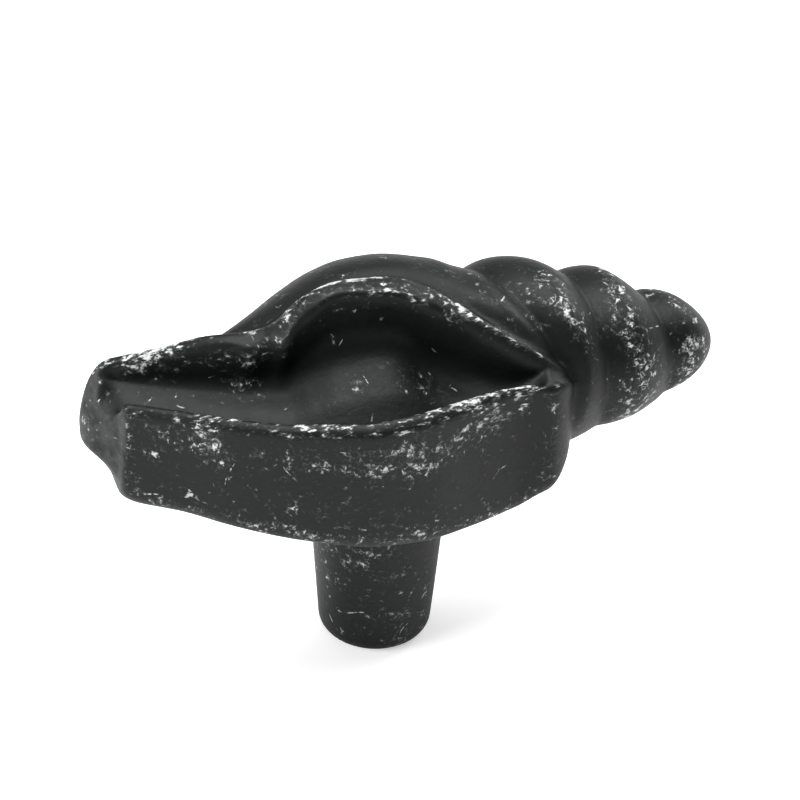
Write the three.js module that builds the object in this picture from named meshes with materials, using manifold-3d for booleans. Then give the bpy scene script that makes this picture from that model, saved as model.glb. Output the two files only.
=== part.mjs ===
// A cabinet knob in the form of a conch shell, one casting with a tapered stem.
// The stem stands on the origin and rises along +Z. The shell lies across it,
// with its spire towards +X and the outer lip of its mouth towards -Y.
// Lengths are in millimetres and angles in degrees.

import * as THREE from 'three';
import { mergeVertices } from 'three/addons/utils/BufferGeometryUtils.js';
import Module from 'manifold-3d';

// Stem, and the hole tapped for a machine screw that enters from below
const FOOT_DIAMETER = 10.0;
const FOOT_EDGE_RADIUS = 1.2;
const STEM_TAPER = 4.0;
const STEM_FLARE = 0.8;
const STEM_COVER = 6.2;
const TAP_HOLE_DIAMETER = 3.4;
const TAP_HOLE_DEPTH = 11.0;
const TAP_HOLE_CHAMFER = 0.4;
const DRILL_POINT_ANGLE = 118;

// Axis of the whorls: its height over the foot, and how far the spire dips
const AXIS_HEIGHT = 28.2;
const AXIS_DIP = 5.3;

// Mouth: its two ends, the outer lip over a straight wall, and the inner lip's rim
const MOUTH_LEFT = 23.1;
const MOUTH_RIGHT = 14.7;
const LIP_REACH = 11.8;
const LIP_RISE = 1.8;
const WALL_HEIGHT = 13.7;
const RIM_RISE = 0.5;
const RIM_ROUND = 0.4;
const LIP_THICKNESS = 1.2;
const LIP_ROUND = 0.7;
const WALL_EDGE_ROUND = 1.6;
const BACK_DROP = 1.0;
const BACK_ROUND = 3.8;
const END_ROUND = 1.9;
const CANAL_END_BULGE = 2.75;
const CANAL_END_DROP = 3.2;
const HOLLOW_DEPTH = 4.2;
const HOLLOW_END_COVER = 2.75;
const HOLLOW_CORNER_RADIUS = 1.2;

// Body whorl and spire along the axis, the body whorl starting inside the canal's end
const CANAL_END_COVER = 3.1;
const BODY_RADIUS = 9.35;
const SPIRE_LENGTH = 29.9;
const APEX_ROUND = 4.6;

// Grooves of the sutures: where each crosses the top of the shell, and their section
const SUTURES = [8.7, 16.8, 23.6];
const SUTURE_DEPTH = 1.4;
const SUTURE_REACH = 4.0;
const SUTURE_SHARPNESS = 2.0;
const FINE_WHORL_RADIUS = 4.0;

// Groove behind the rim, which sets it off from the body whorl
const RIM_GROOVE_DEPTH = 0.6;
const RIM_GROOVE_WIDTH = 1.3;

// The outer lip pushes the first suture towards the apex, most at this angle round the axis
const LIP_SWEEP = 3.2;
const LIP_SWEEP_ANGLE = 70;
const LIP_SWEEP_WIDTH = 55;

// Fineness of the surfaces
const WHORL_SIDES = 48;
const STEM_SIDES = 48;
const ARC_STEPS = 4;
const MERGE_DISTANCE = 1e-5;

const { degToRad } = THREE.MathUtils;

// A smooth curve through [place, value] pairs that never overshoots them
function through(pairs) {
  const last = pairs.length - 1;
  const slope = (i) => (pairs[i + 1][1] - pairs[i][1]) / (pairs[i + 1][0] - pairs[i][0]);
  const tangent = pairs.map((pair, i) => {
    if (i === 0) return slope(0);
    if (i === last) return slope(last - 1);
    const product = slope(i - 1) * slope(i);
    return product <= 0 ? 0 : (2 * product) / (slope(i - 1) + slope(i));
  });
  return (place) => {
    if (place <= pairs[0][0]) return pairs[0][1];
    if (place >= pairs[last][0]) return pairs[last][1];
    const i = pairs.findIndex((pair, k) => place < pairs[k + 1][0]);
    const span = pairs[i + 1][0] - pairs[i][0];
    const rise = pairs[i + 1][1] - pairs[i][1];
    const t = (place - pairs[i][0]) / span;
    const start = tangent[i] * span;
    const end = tangent[i + 1] * span;
    return pairs[i][1] + t * (start + t * (3 * rise - 2 * start - end + t * (start + end - 2 * rise)));
  };
}

// Even steps from one value to another, both included
const stations = (from, to, count) =>
  Array.from({ length: count + 1 }, (unused, i) => from + ((to - from) * i) / count);

// Shares of a quarter circle's width and height, from its start to its end
const quarterCircle = (count) => stations(0, 90, count).map(degToRad).map((a) => [Math.sin(a), 1 - Math.cos(a)]);

const middleOf = (ring) =>
  ring.reduce((sum, p) => sum.add(p), new THREE.Vector3()).divideScalar(ring.length);

// A closed skin over rings of equal point counts, closed by a point at each end
function loft(rings, firstTip, lastTip) {
  const count = rings[0].length;
  const points = [...rings.flat(), firstTip, lastTip];
  const faces = [];
  const firstIndex = points.length - 2;
  const lastIndex = points.length - 1;
  const lastRing = (rings.length - 1) * count;
  for (let i = 0; i < count; i++) {
    const next = (i + 1) % count;
    faces.push(firstIndex, i, next);
    faces.push(lastIndex, lastRing + next, lastRing + i);
    for (let row = 0; row < rings.length - 1; row++) {
      const near = row * count;
      const far = near + count;
      faces.push(near + i, far + next, near + next);
      faces.push(near + i, far + i, far + next);
    }
  }
  const geometry = new THREE.BufferGeometry();
  geometry.setAttribute('position', new THREE.Float32BufferAttribute(points.flatMap((p) => p.toArray()), 3));
  geometry.setIndex(faces);
  return geometry;
}

// An outline in the Y-Z plane whose corners [y, z, radius] are rounded off
function roundedOutline(corners) {
  return corners.flatMap(([y, z, radius], i) => {
    const corner = new THREE.Vector2(y, z);
    const before = corners[(i + corners.length - 1) % corners.length];
    const after = corners[(i + 1) % corners.length];
    const back = new THREE.Vector2(before[0], before[1]).sub(corner);
    const on = new THREE.Vector2(after[0], after[1]).sub(corner);
    const half = Math.acos(THREE.MathUtils.clamp(back.dot(on) / (back.length() * on.length()), -1, 1)) / 2;
    const justUnderHalf = 0.48;
    const room = justUnderHalf * Math.min(back.length(), on.length());
    const reach = Math.min(radius / Math.tan(half), room);
    const start = corner.clone().addScaledVector(back.normalize(), reach);
    const end = corner.clone().addScaledVector(on.normalize(), reach);
    return stations(0, 1, ARC_STEPS).map((t) => {
      const [a, b, c] = [(1 - t) ** 2, 2 * t * (1 - t) * Math.sin(half), t ** 2];
      return new THREE.Vector2()
        .addScaledVector(start, a).addScaledVector(corner, b).addScaledVector(end, c)
        .divideScalar(a + b + c);
    });
  });
}

// Lines of the mouth along X. Each pair is a place, as a share of the mouth's length on
// that side of the stem, and the line's value there, as a share of the size that it scales
const mouthShare = (x) => (x < 0 ? x / MOUTH_LEFT : x / MOUTH_RIGHT);
const line = (pairs, scale) => {
  const share = through(pairs);
  return (x) => scale * share(mouthShare(x));
};
const outerLipY = line([
  [-1, -0.27], [-0.82, -0.47], [-0.66, -0.66], [-0.51, -0.8], [-0.33, -0.92], [-0.16, -1],
  [0.07, -0.965], [0.35, -0.86], [0.52, -0.8], [0.68, -0.765], [0.86, -0.79], [1, -0.75],
], LIP_REACH);
const undersideDrop = line([
  [-1, 0.7], [-0.82, 0.72], [-0.6, 0.785], [-0.39, 0.85], [-0.17, 0.9],
  [0.07, 0.955], [0.42, 0.985], [0.65, 0.955], [0.8, 0.865], [0.92, 0.76], [1, 0.67],
], WALL_HEIGHT - LIP_RISE);
const rimY = line([
  [-1, 0.235], [-0.79, 0.08], [-0.56, -0.07], [-0.39, -0.12], [-0.3, -0.1], [-0.2, -0.05], [-0.04, -0.06],
  [0.1, -0.1], [0.24, -0.18], [0.35, -0.3], [0.49, -0.5], [0.76, -0.7], [0.92, -0.74], [1, -0.66],
], BODY_RADIUS);
const rimZ = line([
  [-1, 0.335], [-0.79, 0.488], [-0.66, 0.59], [-0.5, 0.63], [-0.42, 0.71], [-0.36, 0.86], [-0.31, 0.94],
  [-0.25, 0.98], [-0.15, 1], [-0.04, 0.985], [0.12, 0.94], [0.24, 0.87], [0.35, 0.79], [0.49, 0.67],
  [0.76, 0.4], [0.93, 0.2], [1, 0.15],
], BODY_RADIUS);
const rimWidth = line([
  [-1, 0.9], [-0.82, 0.9], [-0.6, 1.3], [-0.53, 1.9], [-0.46, 1.4], [-0.4, 2.2], [-0.35, 1.7], [-0.3, 1.7],
  [-0.2, 1.7], [-0.05, 2.2], [0.12, 2.3], [0.26, 1.8], [0.4, 1.3], [0.53, 0.8], [0.85, 0.7],
], 1);
const rimDrop = line([
  [-1, 0.5], [-0.6, 0.3], [-0.53, 0.7], [-0.4, 0.9], [-0.3, 0.7], [-0.24, 0.3], [-0.05, 0.25],
  [0.12, 0.6], [0.26, 1.1], [0.4, 1.2], [0.6, 1.1], [1, 0.6],
], 1);
const lipThickness = line([[-1, 1], [0.15, 1], [0.5, 0.7], [0.82, 0.45]], LIP_THICKNESS);
const floorNear = line([
  [-1.14, -0.3], [-1.07, 0], [-0.98, 0.25], [-0.79, 0.42], [-0.56, 0.65], [-0.35, 0.85], [-0.13, 1],
  [0.14, 0.97], [0.42, 0.85], [0.69, 0.55], [0.82, -0.2],
], HOLLOW_DEPTH);
const floorFar = line([
  [-1.14, -0.6], [-1.07, -0.3], [-0.98, 0.05], [-0.79, 0.15], [-0.56, 0.1], [-0.35, 0], [-0.13, 0],
  [0.14, 0.05], [0.42, 0.12], [0.69, 0.12], [0.82, -0.2],
], HOLLOW_DEPTH);
const floorSweep = line([[-1, 1], [-0.6, 1.6], [-0.35, 4], [-0.1, 6], [0.15, 5], [0.45, 2], [0.7, 0.6]], 1);
const backY = line([[-1, 0.42], [-0.75, 0.42], [-0.5, 0.44], [0, 0.5], [0.5, 0.3], [1, -0.3]], BODY_RADIUS);
const undersideY = line([[-1, 0.2], [-0.75, 0.27], [-0.5, 0.36], [0, 0.4], [0.5, 0.3], [1, -0.3]], BODY_RADIUS);
const lipHeight = AXIS_HEIGHT + LIP_RISE;

// How far the round of the mouth's right end draws the outline in at x
function endInset(x) {
  const depth = END_ROUND - Math.min(END_ROUND, MOUTH_RIGHT - x);
  return END_ROUND - Math.sqrt(END_ROUND ** 2 - depth ** 2);
}

// Body of the mouth at x: outer lip, wall, underside and the rim of the inner lip
function mouthSection(x) {
  const inset = endInset(x);
  const bottom = AXIS_HEIGHT - undersideDrop(x) + inset;
  const wallY = outerLipY(x) + inset;
  const rimTop = AXIS_HEIGHT + rimZ(x) + RIM_RISE - inset;
  return roundedOutline([
    [wallY, lipHeight - inset, LIP_ROUND],
    [rimY(x) - rimWidth(x), rimTop - rimDrop(x), RIM_ROUND],
    [rimY(x), rimTop, RIM_ROUND],
    [backY(x), AXIS_HEIGHT - BACK_DROP, BACK_ROUND],
    [undersideY(x), bottom, BACK_ROUND],
    [wallY, bottom, WALL_EDGE_ROUND],
  ]).map((p) => new THREE.Vector3(x, p.x, p.y));
}

function mouthBody() {
  const rounded = quarterCircle(4).slice(1).map(([across]) => MOUTH_RIGHT - END_ROUND * (1 - across));
  const rings = [...stations(-MOUTH_LEFT, MOUTH_RIGHT - END_ROUND, 30), ...rounded].map(mouthSection);
  const lip = outerLipY(-MOUTH_LEFT);
  const middle = new THREE.Vector3(-MOUTH_LEFT, (lip + 2 * backY(-MOUTH_LEFT)) / 3, AXIS_HEIGHT - CANAL_END_DROP);
  const tip = middle.clone().setX(middle.x - CANAL_END_BULGE);
  // The canal's end is a dome, full from the rim backwards and crisp at the lip
  const fullness = through([[lip, 1.9], [rimY(-MOUTH_LEFT), 0.5]]);
  const domed = (share) => rings[0].map((p) => {
    const q = middle.clone().lerp(p, share);
    q.x -= CANAL_END_BULGE * (1 - share ** 2) ** fullness(p.y);
    return q;
  });
  const dome = [0.25, 0.5, 0.72, 0.88, 0.97].map(domed);
  return loft([...dome, ...rings], tip, middleOf(rings[rings.length - 1]));
}

// Space scooped out between the lips at x, open above
function hollowSection(x) {
  const sky = lipHeight + 2 * BODY_RADIUS;
  const leastWidth = 0.3;
  const near = outerLipY(x) + lipThickness(x);
  const far = Math.max(rimY(x) - rimWidth(x), near + leastWidth);
  return roundedOutline([
    [near, sky, 0],
    [far, sky, 0],
    [far, lipHeight - floorFar(x), floorSweep(x)],
    [near, lipHeight - floorNear(x), HOLLOW_CORNER_RADIUS],
  ]).map((p) => new THREE.Vector3(x, p.x, p.y));
}

// The hollow runs out through the canal's end, and stops short of the mouth's right end
function hollow() {
  const pastTheEnd = -MOUTH_LEFT - 2 * CANAL_END_BULGE;
  const rings = stations(pastTheEnd, MOUTH_RIGHT - HOLLOW_END_COVER, 32).map(hollowSection);
  return loft(rings, middleOf(rings[0]), middleOf(rings[rings.length - 1]));
}

// Radius of the whorls' crowns along the axis, before the sutures are cut. Places are
// shares from the buried start (-1) over the stem (0) to the apex (1)
const bodyLength = MOUTH_LEFT - CANAL_END_COVER;
const crownShare = through([
  [-1, 0.08], [-0.85, 0.22], [-0.71, 0.35], [-0.57, 0.52], [-0.43, 0.715], [-0.28, 0.885], [-0.14, 0.975], [0, 1],
  [0.15, 0.925], [0.28, 0.93], [0.4, 0.895], [0.5, 0.865], [0.62, 0.785], [0.72, 0.68],
  [0.8, 0.585], [0.88, 0.475], [1, 0.385],
]);
function crownRadius(along) {
  const share = crownShare(along < 0 ? along / bodyLength : along / SPIRE_LENGTH);
  const onApex = Math.max(0, (along - SPIRE_LENGTH + APEX_ROUND) / APEX_ROUND);
  return BODY_RADIUS * share * Math.sqrt(Math.max(0, 1 - onApex ** 2));
}

// Turns of the spiral: the first suture is one turn on, and the apex one past the last suture
const START_TURN = -1.6;
const APEX_TURN = SUTURES.length + 1;
const sutureLine = through([
  [START_TURN, -bodyLength], [0, 0], ...SUTURES.map((along, i) => [i + 1, along]), [APEX_TURN, SPIRE_LENGTH],
]);
const sutureFade = through([[0.45, 0], [0.85, 1], [APEX_TURN - 0.85, 1], [APEX_TURN - 0.3, 0]]);

// Share of a turn that a suture has made at an angle round the axis, and of its full depth
// there, angle 0 being on top of the shell and 90 at the outer lip
const helixShare = through([
  [-180, -0.5], [-90, -0.25], [0, 0], [70, 0.194], [110, 0.235], [140, 0.25], [180, 0.5],
]);
const sutureShare = through([[-180, 0.4], [-130, 0.4], [-95, 1], [100, 1], [138, 0.4], [180, 0.4]]);
const lipSweep = (angle) => LIP_SWEEP * Math.exp(-(((angle - LIP_SWEEP_ANGLE) / LIP_SWEEP_WIDTH) ** 2));

// Depth of the sutures' grooves
function groove(along, angle) {
  const shares = SUTURES.map((unused, i) => {
    const turn = i + 1 + helixShare(angle);
    const sweep = i === 0 ? lipSweep(angle) : 0;
    const away = Math.abs(along - sutureLine(turn) - sweep) / SUTURE_REACH;
    return sutureFade(turn) * Math.max(0, 1 - away) ** SUTURE_SHARPNESS;
  });
  return SUTURE_DEPTH * sutureShare(angle) * Math.max(...shares);
}

// Depth of the groove behind the rim: deepest at the rim's outer edge and in front of it
const rimGrooveFade = through([[-0.8, 0], [-0.6, 1], [0.6, 1], [0.85, 0]]);
function rimGroove(along, angle, crown) {
  const rimAngle = Math.asin(THREE.MathUtils.clamp(-rimY(along) / crown, -1, 1));
  const behind = crown * Math.max(0, rimAngle - degToRad(angle));
  return RIM_GROOVE_DEPTH * rimGrooveFade(mouthShare(along)) * Math.exp(-((behind / RIM_GROOVE_WIDTH) ** 2));
}

// Rows of points run along the sutures on top and at the sides, and close below
const closingAngle = 100;
const rowLean = (angle) => {
  const open = THREE.MathUtils.clamp(angle, -closingAngle, closingAngle);
  const closing = (180 - Math.abs(angle)) / (180 - closingAngle);
  return helixShare(open) * Math.min(1, closing);
};
const leanFade = through([[START_TURN, 0], [0.4, 0.6], [1, 1], [APEX_TURN - 0.9, 1], [APEX_TURN, 0]]);
const sweepFade = through([[0, 0], [1, 1], [1.9, 0]]);

function whorlRow(turn) {
  return stations(180, -180, WHORL_SIDES).slice(1).map((angle) => {
    const along = sutureLine(turn + leanFade(turn) * rowLean(angle)) + sweepFade(turn) * lipSweep(angle);
    const crown = crownRadius(along);
    const sutured = crown - groove(along, angle) * Math.min(1, crown / FINE_WHORL_RADIUS);
    const radius = sutured - rimGroove(along, angle, Math.max(crown, 0.1));
    const around = degToRad(angle);
    return new THREE.Vector3(along, -radius * Math.sin(around), radius * Math.cos(around));
  });
}

function whorls() {
  const apexStart = APEX_TURN - 0.26;
  const turns = [
    ...stations(START_TURN, 0.55, 14),
    ...stations(0.6, APEX_TURN - 0.8, 46),
    ...stations(APEX_TURN - 0.73, apexStart - 0.04, 6),
    ...quarterCircle(7).slice(0, -1).map(([across]) => apexStart + (APEX_TURN - apexStart) * across),
  ];
  const start = new THREE.Vector3(-bodyLength, 0, 0);
  const apex = new THREE.Vector3(SPIRE_LENGTH, 0, 0);
  const geometry = loft(turns.map(whorlRow), start, apex);
  geometry.rotateY(degToRad(AXIS_DIP));
  geometry.translate(0, 0, AXIS_HEIGHT);
  return geometry;
}

// A revolved outline of [radius, height] pairs, its ends on the axis
function revolved(outline) {
  const geometry = new THREE.LatheGeometry(outline.map(([r, z]) => new THREE.Vector2(r, z)), STEM_SIDES);
  return geometry.rotateX(Math.PI / 2);
}

function stem() {
  const foot = FOOT_DIAMETER / 2;
  const flareStart = lipHeight - WALL_HEIGHT;
  const top = AXIS_HEIGHT - BODY_RADIUS + STEM_COVER / 2;
  const flat = foot - FOOT_EDGE_RADIUS;
  const edge = quarterCircle(5).map(([across, up]) => [flat + FOOT_EDGE_RADIUS * across, FOOT_EDGE_RADIUS * up]);
  const side = stations(0, 1, 6).map((t) => {
    const z = THREE.MathUtils.lerp(flareStart, top, t);
    return [foot + z * Math.tan(degToRad(STEM_TAPER)) + STEM_FLARE * t ** 2, z];
  });
  return revolved([[0, 0], ...edge, ...side, [0, top]]);
}

function tapHole() {
  const radius = TAP_HOLE_DIAMETER / 2;
  const point = radius / Math.tan(degToRad(DRILL_POINT_ANGLE / 2));
  const mouth = radius + TAP_HOLE_CHAMFER;
  const below = -TAP_HOLE_CHAMFER;
  return revolved([
    [0, below], [mouth, below], [mouth, 0], [radius, TAP_HOLE_CHAMFER],
    [radius, TAP_HOLE_DEPTH], [0, TAP_HOLE_DEPTH + point],
  ]);
}

const wasm = await Module();
wasm.setup();

function solid(geometry) {
  const bare = geometry.clone();
  bare.deleteAttribute('normal');
  bare.deleteAttribute('uv');
  const merged = mergeVertices(bare, MERGE_DISTANCE);
  const mesh = new wasm.Mesh({
    numProp: 3,
    vertProperties: new Float32Array(merged.attributes.position.array),
    triVerts: new Uint32Array(merged.index.array),
  });
  return new wasm.Manifold(mesh);
}

function geometryOf(manifold) {
  const mesh = manifold.getMesh();
  const geometry = new THREE.BufferGeometry();
  geometry.setAttribute('position', new THREE.BufferAttribute(mesh.vertProperties, 3));
  geometry.setIndex(new THREE.BufferAttribute(mesh.triVerts, 1));
  geometry.computeVertexNormals();
  return geometry;
}

const shell = solid(mouthBody()).add(solid(whorls())).subtract(solid(hollow()));
const casting = shell.add(solid(stem())).subtract(solid(tapHole()));
const distressedBlack = new THREE.MeshStandardMaterial({ color: 0x2b2a29, roughness: 0.5, metalness: 0.6 });
const knob = new THREE.Mesh(geometryOf(casting), distressedBlack);
knob.name = 'shell_knob';

const part = new THREE.Group();
part.add(knob);
export default part;
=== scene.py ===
# %% [markdown]
# This lesson dresses a cast cabinet knob in the shape of a conch shell. The real knob is
# poured in one piece, blackened, and then rubbed so that bright metal shows on its crests.
# The measured model comes first. It fixes where everything lies, and nothing moves it.

# %% Load the measured model
import bpy
import numpy as np
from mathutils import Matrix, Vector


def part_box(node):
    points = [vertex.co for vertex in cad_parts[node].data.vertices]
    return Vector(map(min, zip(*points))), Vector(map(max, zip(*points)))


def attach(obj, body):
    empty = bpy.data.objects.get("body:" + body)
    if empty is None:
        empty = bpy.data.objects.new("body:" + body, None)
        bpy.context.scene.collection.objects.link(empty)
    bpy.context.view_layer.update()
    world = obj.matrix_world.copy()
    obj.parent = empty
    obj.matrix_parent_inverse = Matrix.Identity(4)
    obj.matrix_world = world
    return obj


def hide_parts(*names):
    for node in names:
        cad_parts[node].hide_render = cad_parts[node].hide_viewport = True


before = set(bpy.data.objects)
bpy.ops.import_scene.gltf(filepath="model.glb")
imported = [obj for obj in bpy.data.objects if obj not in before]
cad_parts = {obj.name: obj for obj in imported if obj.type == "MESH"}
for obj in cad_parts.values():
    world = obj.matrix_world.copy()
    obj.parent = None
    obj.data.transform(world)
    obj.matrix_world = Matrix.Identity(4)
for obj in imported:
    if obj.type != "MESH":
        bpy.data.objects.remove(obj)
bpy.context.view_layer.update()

import openvdb
from mathutils import Matrix

MM = 0.001
cad_low, cad_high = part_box("shell_knob")
print("measured box in mm:", [round(v / MM, 2) for v in cad_low], [round(v / MM, 2) for v in cad_high])

# %% [markdown]
# The camera looks down on the knob from the front and a little from the left, through a
# long lens, so that the shell is hardly foreshortened. Its place is worked out from two
# angles and a distance. The knob's foot then lands on a chosen pixel of an 800-pixel frame.

# %% Camera
PICTURE = 800
SENSOR_WIDTH = 36.0
FOCAL_PIXELS = 3700.0
CAMERA_AZIMUTH = -18.0
CAMERA_ELEVATION = 37.0
CAMERA_ROLL = 2.0
CAMERA_DISTANCE = 330.0 * MM
FOOT_PIXEL = (374.0, 618.0)
NEAREST_SEEN = 0.01
FARTHEST_SEEN = 10.0


def camera_axes(azimuth, elevation, roll):
    """Right, up and back: back points from the object to the eye, roll turns the other two."""
    a, e, r = np.radians([azimuth, elevation, roll])
    back = np.array([np.sin(a) * np.cos(e), -np.cos(a) * np.cos(e), np.sin(e)])
    level = np.array([np.cos(a), np.sin(a), 0.0])
    right = level * np.cos(r) + np.cross(back, level) * np.sin(r)
    return right, np.cross(back, right), back


def placed(item, right, up, back, place):
    """Give a camera or a lamp its three axes and its place in metres, and put it in the scene."""
    turned = np.eye(4)
    turned[:3] = np.column_stack([right, up, back, place])
    item.matrix_world = Matrix(turned.tolist())
    bpy.context.scene.collection.objects.link(item)
    return item


def make_camera():
    right, up, back = camera_axes(CAMERA_AZIMUTH, CAMERA_ELEVATION, CAMERA_ROLL)
    pixel = CAMERA_DISTANCE / FOCAL_PIXELS
    aside, above = (FOOT_PIXEL[0] - PICTURE / 2) * pixel, (PICTURE / 2 - FOOT_PIXEL[1]) * pixel
    eye = back * CAMERA_DISTANCE - right * aside - up * above
    data = bpy.data.cameras.new("camera")
    data.sensor_width = SENSOR_WIDTH
    data.lens = FOCAL_PIXELS / PICTURE * SENSOR_WIDTH
    data.clip_start, data.clip_end = NEAREST_SEEN, FARTHEST_SEEN
    bpy.context.scene.camera = placed(bpy.data.objects.new("camera", data), right, up, back, eye)
    print("eye in mm:", (eye / MM).round(1), "lens:", data.lens)


make_camera()

# %% [markdown]
# The casting's forms are surfaces over two parameters. Most of them follow named lines
# along the shell, such as the crest of its outer lip. A line is given by a few places and
# values, and a smooth curve runs through them. The curve must not swing past its points,
# because a bulge between two points would show in the metal, so its slope at each point is
# the harmonic mean of the slopes on both sides.

# %% Lines that never overshoot
def through(pairs):
    """A function of place: cubic pieces through (place, value) pairs, flat beyond the ends.
    The slope at a point is the harmonic mean of its two neighbours, or 0 at a turn."""
    places, values = np.array(pairs, float).T
    steps = np.diff(values) / np.diff(places)
    product = steps[:-1] * steps[1:]
    total = np.where(product > 0, steps[:-1] + steps[1:], 1.0)
    inner = np.where(product > 0, 2 * product / total, 0.0)
    slopes = np.concatenate([steps[:1], inner, steps[-1:]])

    def curve(place):
        place = np.clip(place, places[0], places[-1])
        i = np.clip(np.searchsorted(places, place, side="right") - 1, 0, len(places) - 2)
        span = places[i + 1] - places[i]
        t = (place - places[i]) / span
        rise, start, end = values[i + 1] - values[i], slopes[i] * span, slopes[i + 1] * span
        return values[i] + t * (start + t * (3 * rise - 2 * start - end + t * (start + end - 2 * rise)))

    return curve


peak = through([(0, 0), (1, 1), (2, 0)])(np.linspace(0, 2, 99)).max()
print("a line through 0, 1 and 0 peaks at", peak)

# %% [markdown]
# A form starts as a closed skin: rows of points, and faces from each row to the next. The
# skins overlap freely and are joined later. Sizes are in millimetres. The foot is on the
# origin, the spire points along +X and the outer lip faces -Y. The sizes are the measured
# model's, and a few lines were drawn anew for this finer surface, from the photograph.

# %% Skins over a grid of points
AXIS_HEIGHT = 28.2
BODY_RADIUS = 9.35
skins = {}


def skin(points):
    """Points (rows, around, 3) as a closed mesh: four-sided faces between the rows, and a fan
    to the mean point of the first and the last row."""
    rows, around = points.shape[:2]
    index = np.arange(rows * around).reshape(rows, around)
    following = np.roll(index, -1, axis=1)
    sides = np.stack([index[:-1], index[1:], following[1:], following[:-1]], axis=-1).reshape(-1, 4)
    first = np.full(around, rows * around)
    last = first + 1
    fans = np.concatenate([
        np.stack([first, index[0], following[0]], axis=-1),
        np.stack([last, following[-1], index[-1]], axis=-1),
    ])
    tips = points[[0, -1]].mean(axis=1)
    return np.concatenate([points.reshape(-1, 3), tips]), sides, fans


def keep_skin(name, shape):
    """Keep a closed skin under its name, and print how far it reaches in mm."""
    skins[name] = shape
    points = shape[0]
    print(name, "from", points.min(axis=0).round(2), "to", points.max(axis=0).round(2))


# %% [markdown]
# The mouth is a body of changing section. At each place along X its section has six
# corners: the outer lip, the inner and the outer edge of the rim, the back, the underside
# and the foot of the wall. Each corner is rounded by an arc that is worked out for all the
# sections at once.

# %% Rounded sections
LONGEST_ARC_SHARE = 0.48


def rounded(corners, radii, steps=8):
    """Corners (sections, corner, 2) rounded off: each corner becomes a rational quadratic arc
    between the points where a circle of its radius would touch the two sides. An arc takes
    less than half of a side, so that two arcs never meet."""
    to_last = np.roll(corners, 1, axis=1) - corners
    to_next = np.roll(corners, -1, axis=1) - corners
    long_last = np.linalg.norm(to_last, axis=2)
    long_next = np.linalg.norm(to_next, axis=2)
    cosine = (to_last * to_next).sum(axis=2) / (long_last * long_next)
    half = np.arccos(np.clip(cosine, -1, 1)) / 2
    reach = np.minimum(radii / np.tan(half), LONGEST_ARC_SHARE * np.minimum(long_last, long_next))
    start = corners + to_last * (reach / long_last)[..., None]
    end = corners + to_next * (reach / long_next)[..., None]
    t = np.linspace(0, 1, steps + 1)
    weights = np.stack([
        np.broadcast_to((1 - t) ** 2, half.shape + t.shape),
        2 * t * (1 - t) * np.sin(half)[..., None],
        np.broadcast_to(t ** 2, half.shape + t.shape),
    ], axis=-1)
    arcs = np.einsum("sckw,scwd->sckd", weights, np.stack([start, corners, end], axis=2))
    arcs /= weights.sum(axis=-1)[..., None]
    return arcs.reshape(len(corners), -1, 2)


def along_x(x, sections):
    """Sections in Y and Z set up at their places along X."""
    places = np.broadcast_to(x[:, None, None], sections.shape[:2] + (1,))
    return np.concatenate([places, sections], axis=2)


# %% [markdown]
# These lines are the form of the mouth, followed along the shell: the outer lip's crest, the
# rim's place, height, width and slant, the back and the underside. A pattern maker draws
# such lines first and lets the surface follow. Each has few points, and more where it turns.

# %% Lines of the mouth
MOUTH_LEFT = 23.1
MOUTH_RIGHT = 14.7
LIP_REACH = 11.8
LIP_RISE = 1.8
LIP_HEIGHT = AXIS_HEIGHT + LIP_RISE
WALL_HEIGHT = 13.7


def mouth_line(pairs, scale=1.0):
    """A line along X. Places are shares of the mouth's length on that side of the stem, and
    values are shares of scale, or millimetres where no scale is given."""
    share = through(pairs)
    return lambda x: scale * share(np.where(x < 0, x / MOUTH_LEFT, x / MOUTH_RIGHT))


outer_lip_y = mouth_line([
    (-1, -0.27), (-0.82, -0.47), (-0.66, -0.66), (-0.51, -0.8), (-0.33, -0.92), (-0.16, -1),
    (0.07, -0.965), (0.35, -0.86), (0.52, -0.8), (0.68, -0.765), (0.86, -0.79), (1, -0.75),
], LIP_REACH)
underside_drop = mouth_line([
    (-1, 0.645), (-0.965, 0.69), (-0.93, 0.705), (-0.82, 0.72), (-0.6, 0.785), (-0.39, 0.85),
    (-0.17, 0.9), (0.07, 0.955), (0.42, 0.985), (0.65, 0.955), (0.8, 0.85), (0.92, 0.77), (1, 0.70),
], WALL_HEIGHT - LIP_RISE)
rim_y = mouth_line([
    (-1, 0.235), (-0.79, 0.08), (-0.56, -0.07), (-0.39, -0.12), (-0.3, -0.1), (-0.2, -0.05),
    (-0.04, -0.06), (0.1, -0.1), (0.24, -0.18), (0.35, -0.3), (0.49, -0.5), (0.76, -0.7),
    (0.92, -0.74), (1, -0.66),
], BODY_RADIUS)
rim_z = mouth_line([
    (-1, 0.335), (-0.79, 0.488), (-0.66, 0.59), (-0.5, 0.63), (-0.42, 0.71), (-0.36, 0.86),
    (-0.31, 0.94), (-0.25, 0.98), (-0.15, 1), (-0.04, 0.985), (0.12, 0.94), (0.24, 0.87),
    (0.35, 0.79), (0.49, 0.67), (0.76, 0.4), (0.93, 0.2), (1, 0.15),
], BODY_RADIUS)
rim_width = mouth_line([
    (-1, 0.9), (-0.82, 0.9), (-0.6, 1.3), (-0.53, 1.9), (-0.46, 1.4), (-0.4, 2.2), (-0.35, 1.7),
    (-0.3, 1.7), (-0.2, 1.7), (-0.05, 2.2), (0.12, 2.3), (0.26, 1.8), (0.4, 1.3), (0.53, 0.8),
    (0.85, 0.7),
])
rim_drop = mouth_line([
    (-1, 0.5), (-0.6, 0.3), (-0.53, 0.7), (-0.4, 0.9), (-0.3, 0.7), (-0.24, 0.3), (-0.05, 0.25),
    (0.12, 0.6), (0.26, 1.1), (0.4, 1.2), (0.6, 1.1), (1, 0.6),
])
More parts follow.
